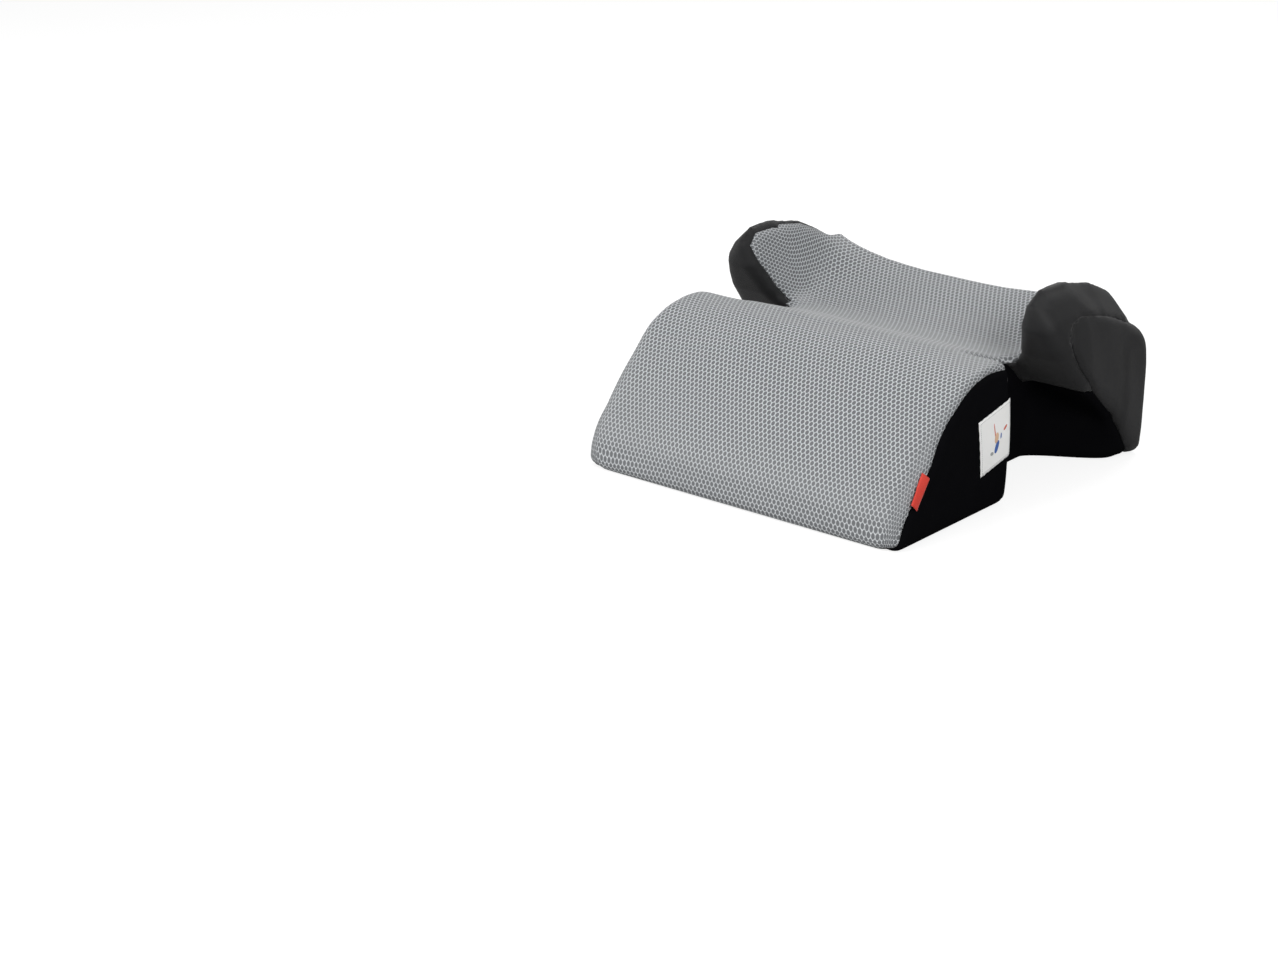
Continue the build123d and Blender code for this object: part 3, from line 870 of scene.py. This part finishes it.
# finish, slot, CAD node, flat size and flat area of each panel's cut, and what it is drawn over
panelFinish = {
    "meshTop": (
        "airMesh", "air_mesh", "mesh_top_panel", (0.5, 0.5), 0.195,
        ["seatFoam", "leftArmrestFoam", "rightArmrestFoam"],
    ),
    "rear": ("black", "black_fabric", "rear_panel", (0.36, 0.165), 0.053, ["seat_shell"]),
}
for side in ("left", "right"):
    overArm = ["seat_shell", side + "ArmrestFoam"]
    panelFinish[side + "Wing"] = (
        "black", "black_fabric", side + "_wing_panel", (0.19, 0.145), 0.0205, ["seat_shell"]
    )
    panelFinish[side + "Notch"] = (
        "black", "black_fabric", side + "_notch_panel", (0.25, 0.15), 0.033, overArm
    )
    panelFinish[side + "ArmFront"] = (
        "charcoal", "charcoal_fabric", side + "_armrest_front_panel", (0.2, 0.12), 0.0166, overArm
    )
    panelFinish[side + "ArmOuter"] = (
        "charcoal", "charcoal_fabric", side + "_armrest_outer_panel", (0.18, 0.175), 0.0206, overArm
    )
for name, (look, slotName, node, flat, area, under) in panelFinish.items():
    panel = panelObject(coverBody, panels[name], name)
    finishPiece(panel, finish[look], [node])
print("cover panels made")


# the hem is the cover's edge folded under, gathered by its elastic
hem = {"cell": 3.0, "outer": 11.0, "width": 16.0, "low": 3.2, "high": 7.4, "outlineAt": 26.0}


def hemForm(x, y, z):
    outline = body(x, y, np.full_like(z, hem["outlineAt"]), tuck=0)
    turn = np.arctan2(y - 205, x)
    gather = 0.5 * np.sin(turn * 97) * np.sin(turn * 31 + 1)
    middle, half = (hem["low"] + hem["high"]) / 2, (hem["high"] - hem["low"]) / 2
    band = np.maximum(outline + hem["outer"], -(outline + hem["outer"] + hem["width"]))
    return smoothMax(band, np.abs(z - middle - gather) - half, 1.5)


hemVerts, hemQuads = netSurface(hemForm, (-228, -8, -1.5), (228, 420, 12), hem["cell"])
hemBand = meshPiece("hemBand", toFrame(hemVerts), hemQuads)
hemLayer = hemBand.data.uv_layers.new(name="cloth")
hemCorner = np.zeros(len(hemBand.data.loops), int)
hemBand.data.loops.foreach_get("vertex_index", hemCorner)
hemLayer.data.foreach_set("uv", (hemVerts[hemCorner][:, :2] * mm).ravel())
finishPiece(hemBand, finish["hem"], ["hem_casing"])

foam = {"cell": 9.0, "armCell": 6.0, "under": 4.0, "thick": 10.0, "bottom": 12}


def foamForm(x, y, z):
    b = body(x, y, z)
    layer = np.maximum(b + foam["under"], -(b + foam["under"] + foam["thick"]))
    return np.maximum(layer, foam["bottom"] - z)


def onArmSide(x, y, z):
    aboveSeat = seatTop(np.abs(x), y)[0] - z + 4
    return np.maximum(152 - np.abs(x), np.maximum(finDistance(y, z), aboveSeat))


def seatFoamForm(x, y, z):
    sideWall = seatTop(np.abs(x), y)[0] - 30 - z  # foam only over the top
    return np.maximum(np.maximum(foamForm(x, y, z), sideWall), 1.0 - onArmSide(x, y, z))


def armFoamForm(side):
    return lambda x, y, z: np.maximum(np.maximum(foamForm(x, y, z), onArmSide(x, y, z)), -side * x)


def makeFoam(name, form, low, high, cell, node):
    verts, quads = netSurface(form, low, high, cell)
    obj = meshPiece(name, toFrame(verts), quads)
    finishPiece(obj, finish["foam"], [node])


makeFoam("seatFoam", seatFoamForm, (-232, -12, -6), (232, 424, 214), foam["cell"], "seat_foam")
for side, direction, near in (("right", 1, 130), ("left", -1, -236)):
    low, high = (near, 230, 90), (near + 106, 424, 214)
    node = side + "_armrest_foam"
    makeFoam(side + "ArmrestFoam", armFoamForm(direction), low, high, foam["armCell"], node)
print("foam made")

# the label and the tab are laid on the cover's surface
label = {
    # corners on the right wing, as distance from the front and height, clockwise from the front top
    "corners": [(131, 101), (188, 112), (189.5, 54), (137, 43)],
    "steps": 24,
    "lift": 0.4,
    "thick": 0.8,
}


def ontoWing(yz, lift):
    # the right wing's side, straight out from the middle
    p = np.concatenate([np.full((len(yz), 1), 200.0), yz], 1)
    for _ in range(8):
        f = body(*p.T)
        ahead = p + np.array([0.5, 0, 0])
        p[:, 0] -= np.clip(f / np.maximum((body(*ahead.T) - f) / 0.5, 0.35), -6, 6)
    g = bodyGradient(p)
    return p + lift * g / np.linalg.norm(g, axis=1)[:, None]


def labelSpot(u, v):
    # u from the front edge, v from the top edge, both 0 to 1
    c = np.array(label["corners"], float)
    u, v = np.asarray(u)[:, None], np.asarray(v)[:, None]
    return (c[0] * (1 - u) + c[1] * u) * (1 - v) + (c[3] * (1 - u) + c[2] * u) * v


def gridPatch(name, spots, across, down, lift, thick, material, node):
    verts = toFrame(ontoWing(spots, lift))
    faces = []
    for i in range(across):
        for j in range(down):
            a = i * (down + 1) + j
            faces.append((a, a + 1, a + down + 2, a + down + 1))
    obj = meshPiece(name, verts, faces)
    layer = obj.data.uv_layers.new(name="cloth")
    corner = np.zeros(len(obj.data.loops), int)
    obj.data.loops.foreach_get("vertex_index", corner)
    layer.data.foreach_set("uv", (spots[corner] * mm).ravel())
    thickness = obj.modifiers.new("thickness", "SOLIDIFY")
    thickness.thickness = thick * mm
    thickness.offset = 1
    return finishPiece(obj, material, node) if node else obj


def joinPieces(name, parts):
    for part in parts:
        for modifier in list(part.modifiers):
            with bpy.context.temp_override(object=part, active_object=part):
                bpy.ops.object.modifier_apply(modifier=modifier.name)
    with bpy.context.temp_override(active_object=parts[0], selected_editable_objects=parts, object=parts[0]):
        bpy.ops.object.join()
    parts[0].name = name
    return parts[0]


def makeLabel():
    n = label["steps"]
    u, v = np.meshgrid(np.linspace(0, 1, n + 1), np.linspace(0, 1, n + 1), indexing="ij")
    u, v = u.ravel(), v.ravel()
    # a woven edge is never quite straight
    spots = labelSpot(u, v) + 0.25 * np.sin(np.stack([v * 37, u * 41], 1))
    lift, thick, node = label["lift"], label["thick"], ["instruction_label"]
    cloth = gridPatch("label", spots, n, n, lift, thick, finish["label"], node)
    marks = [
        # middle, half size, turn, finish
        ((0.47, 0.36), (0.012, 0.15), -0.12, "markRed"),
        ((0.52, 0.50), (0.06, 0.09), 0.25, "markPeach"),
        ((0.52, 0.66), (0.055, 0.11), 0.55, "markBlue"),
        ((0.66, 0.52), (0.018, 0.05), 0.2, "markBlue"),
        ((0.80, 0.43), (0.06, 0.022), -0.45, "markRed"),
        ((0.36, 0.72), (0.05, 0.03), 0.3, "markGrey"),
    ]
    parts = []
    for middle, half, turn, look in marks:
        m = 10
        a, b = np.meshgrid(np.linspace(-1, 1, m + 1), np.linspace(-1, 1, m + 1), indexing="ij")
        a, b = a.ravel(), b.ravel()
        roundness = np.sqrt(1 - np.clip(np.minimum(a * a, b * b), 0, 1) / 2)  # square to rounded blob
        a, b = a * roundness * half[0], b * roundness * half[1]
        uu = middle[0] + a * math.cos(turn) - b * math.sin(turn)
        vv = middle[1] + a * math.sin(turn) + b * math.cos(turn)
        patch = gridPatch("mark", labelSpot(uu, vv), m, m, lift + thick, 0.12, None, None)
        patch.data.materials.append(finish[look])
        parts.append(patch)
    patches = joinPieces("labelMarks", parts)
    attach(patches, "root")
    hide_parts("label_patches")
    # stitches: short raised threads in a square, just inside the label's edge
    edge, perSide = 0.045, 26
    verts, faces = [], []
    for side in range(4):
        for k in range(perSide):
            ends = []
            for t in ((k + 0.12) / perSide, (k + 0.88) / perSide):
                t = edge + t * (1 - 2 * edge)
                ends.append([(t, edge), (1 - edge, t), (1 - t, 1 - edge), (edge, 1 - t)][side])
            line = np.array([np.array(ends[0]) * (1 - s) + np.array(ends[1]) * s for s in (0, 0.5, 1)])
            spine = ontoWing(labelSpot(line[:, 0], line[:, 1]), lift + thick + 0.05)
            tube(verts, faces, spine, [0.14, 0.3, 0.14])
    stitches = meshPiece("labelStitches", toFrame(verts), faces)
    finishPiece(stitches, finish["thread"], ["label_stitching"])


def tube(verts, faces, spine, radii, sides=6):
    # a closed tube along a line of points
    start = len(verts)
    spine = np.array(spine)
    for i, (centre, radius) in enumerate(zip(spine, radii)):
        along = spine[min(i + 1, len(spine) - 1)] - spine[max(i - 1, 0)]
        along /= np.linalg.norm(along)
        one = np.cross(along, [0.3, 0.2, 0.93])
        one /= np.linalg.norm(one)
        two = np.cross(along, one)
        for k in range(sides):
            angle = math.tau * k / sides
            verts.append(centre + radius * (math.cos(angle) * one + math.sin(angle) * two))
    for i in range(len(spine) - 1):
        for k in range(sides):
            a = start + i * sides + k
            b = start + i * sides + (k + 1) % sides
            faces.append((a, b, b + sides, a + sides))
    faces.append([start + k for k in reversed(range(sides))])
    faces.append([start + (len(spine) - 1) * sides + k for k in range(sides)])


tab = {
    "low": (29.0, 39.5),  # distance from the front, and height, of its ends along the seam
    "high": (49.0, 67.0),
    "width": 11.0,
    "length": 34,
    "thick": 0.9,
    "rows": 20,
    "columns": 8,
}


def makeTab():
    # its right edge lies in the seam; it is folded over, so it stands slightly off the mesh
    low, high = np.array(tab["low"]), np.array(tab["high"])
    verts, faces, flat = [], [], []
    for i in range(tab["rows"] + 1):
        s = i / tab["rows"]
        y, z = low * (1 - s) + high * s
        for j in range(tab["columns"] + 1):
            t = j / tab["columns"]
            verts.append([201.0 - 8.0 * t**1.4, y - 4.6 * t, z + 5.4 * t])
            flat.append([tab["width"] * t * mm, tab["length"] * s * mm])
    p = ontoSurface(np.array(verts))
    g = bodyGradient(p)
    g /= np.linalg.norm(g, axis=1)[:, None]
    t = np.array(flat)[:, 0] / (tab["width"] * mm)
    s = np.array(flat)[:, 1] / (tab["length"] * mm)
    p += g * (1.3 + 1.6 * t + 0.5 * np.sin(5 * s) * t)[:, None]
    n = tab["columns"] + 1
    for i in range(tab["rows"]):
        for j in range(tab["columns"]):
            a = i * n + j
            faces.append((a, a + n, a + n + 1, a + 1))
    obj = meshPiece("sideTab", toFrame(p), faces)
    layer = obj.data.uv_layers.new(name="cloth")
    corner = np.zeros(len(obj.data.loops), int)
    obj.data.loops.foreach_get("vertex_index", corner)
    layer.data.foreach_set("uv", np.array(flat)[corner].ravel())
    thickness = obj.modifiers.new("thickness", "SOLIDIFY")
    thickness.thickness = tab["thick"] * mm
    thickness.offset = 0
    finishPiece(obj, finish["tab"], ["side_tab"])


makeLabel()
makeTab()
print("label and tab made")

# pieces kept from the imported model
keptFinish = {
    "shell": ["seat_shell", "lengthwise_ribs", "crosswise_ribs", "sticker_plate"],
    "hook": ["cover_hooks"],
    "elastic": ["hem_elastic"],
    "sticker": ["approval_sticker"],
    "rubber": ["front_left_foot", "front_right_foot", "rear_left_foot", "rear_right_foot"],
}
for look, nodes in keptFinish.items():
    for node in nodes:
        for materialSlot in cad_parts[node].material_slots:
            materialSlot.material = finish[look]

low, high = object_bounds()
print("visual box", [round(v, 4) for v in list(low) + list(high)])
